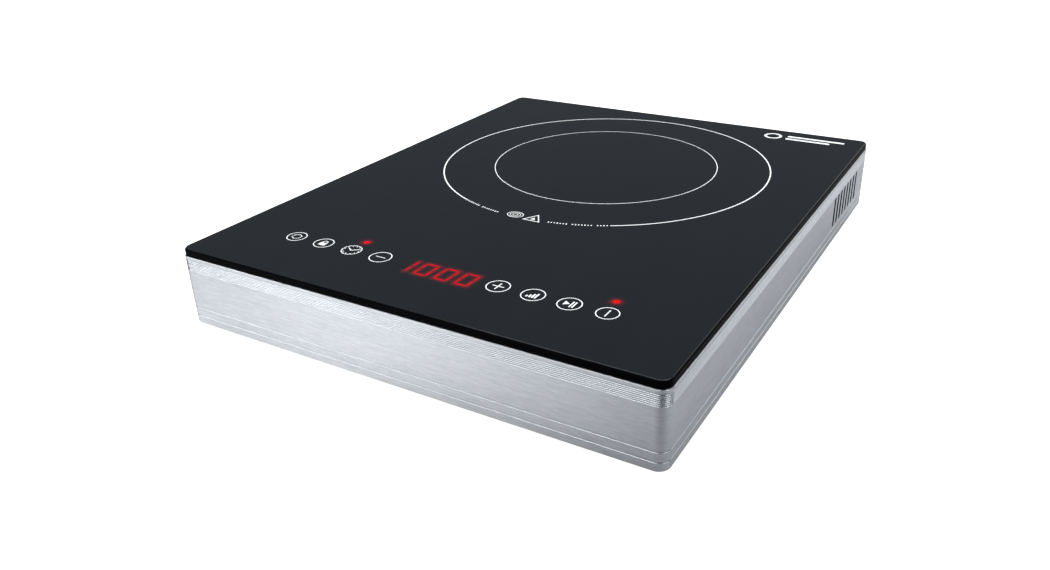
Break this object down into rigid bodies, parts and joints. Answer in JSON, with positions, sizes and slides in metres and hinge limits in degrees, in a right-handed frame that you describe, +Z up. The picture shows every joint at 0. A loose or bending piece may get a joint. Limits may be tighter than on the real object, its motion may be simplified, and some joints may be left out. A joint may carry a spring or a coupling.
{
  "type": "induction hob",
  "caption": "Portable induction hob: a flat glass top with a ringed cooking zone and touch keys on a brushed metal band, with a cooling fan and coil inside.",
  "frame": {"origin": "under the middle of the housing, on the surface that the feet stand on", "axes": "+Z up, +X to the user's right, +Y to the back; the touch keys are at the front, -Y"},
  "size_m": [0.29, 0.3625, 0.0542],
  "materials": {
    "black_glass": "glossy",
    "black_silicone": "matte",
    "brushed_aluminium": "brushed",
    "plain_aluminium": "satin",
    "black_plastic": "matte",
    "foot_rubber": "matte",
    "zinc_steel": "satin",
    "black_steel": "satin",
    "black_anodised": "satin",
    "label_foil": "satin",
    "white_nylon": "matte",
    "carrier_plastic": "matte",
    "litz_copper": "satin",
    "ferrite": "matte",
    "mica": "satin",
    "white_silicone": "matte",
    "spring_steel": "polished",
    "circuit_board": "satin",
    "black_epoxy": "gloss",
    "film_capacitor": "gloss",
    "capacitor_sleeve": "gloss",
    "copper_wire": "satin",
    "transformer_tape": "satin",
    "fuse_ceramic": "satin",
    "terminal_brass": "satin",
    "display_face": "gloss",
    "red_lens": "gloss",
    "ribbon_grey": "satin",
    "print_white": "matte",
    "lit_red": "gloss"
  },
  "bodies": {
    "housing": {"glass_top": "black_glass", "glass_seal": "black_silicone", "side_band": "brushed_aluminium", "band_joint_plate": "plain_aluminium", "band_rivets": "plain_aluminium", "base_tray": "black_plastic", "rubber_foot_1": "foot_rubber", "rubber_foot_2": "foot_rubber", "rubber_foot_3": "foot_rubber", "rubber_foot_4": "foot_rubber", "foot_screws": "zinc_steel", "base_screws": "black_steel", "rating_label": "label_foil", "cable_gland": "black_plastic", "cord_clamp": "white_nylon", "terminal_block": "white_nylon", "earth_screw": "zinc_steel", "coil_carrier": "carrier_plastic", "induction_coil": "litz_copper", "ferrite_bars": "ferrite", "mica_sheet": "mica", "sensor_holder": "white_nylon", "sensor_spring": "spring_steel", "temperature_sensor": "white_silicone", "coil_spring_1": "spring_steel", "coil_spring_2": "spring_steel", "coil_spring_3": "spring_steel", "coil_screws": "zinc_steel", "power_board": "circuit_board", "board_screws": "zinc_steel", "heatsink": "black_anodised", "igbt": "black_epoxy", "bridge_rectifier": "black_epoxy", "heatsink_screws": "zinc_steel", "resonant_capacitor": "film_capacitor", "filter_capacitor": "film_capacitor", "mains_capacitor": "film_capacitor", "supply_capacitors": "capacitor_sleeve", "choke_core": "ferrite", "choke_winding": "copper_wire", "supply_transformer": "transformer_tape", "fuse": "fuse_ceramic", "buzzer": "black_epoxy", "coil_terminals": "terminal_brass", "fan_frame": "black_plastic", "fan_stator": "copper_wire", "fan_screws": "zinc_steel", "air_guide": "carrier_plastic", "control_bracket": "carrier_plastic", "control_board": "circuit_board", "control_screws": "zinc_steel", "display_module": "display_face", "display_shade": "black_silicone", "indicator_leds": "red_lens", "touch_springs": "spring_steel", "ribbon_cable": "ribbon_grey", "ribbon_plugs": "white_nylon"},
    "fan": {"fan_rotor": "black_plastic", "fan_shaft": "spring_steel"}
  },
  "joints": [
    {"name": "fan_spin", "type": "hinge", "parent": "housing", "child": "fan", "pos_m": [-0.072, 0.096, 0.024], "axis": [0, 0, 1], "continuous": true}
  ]
}
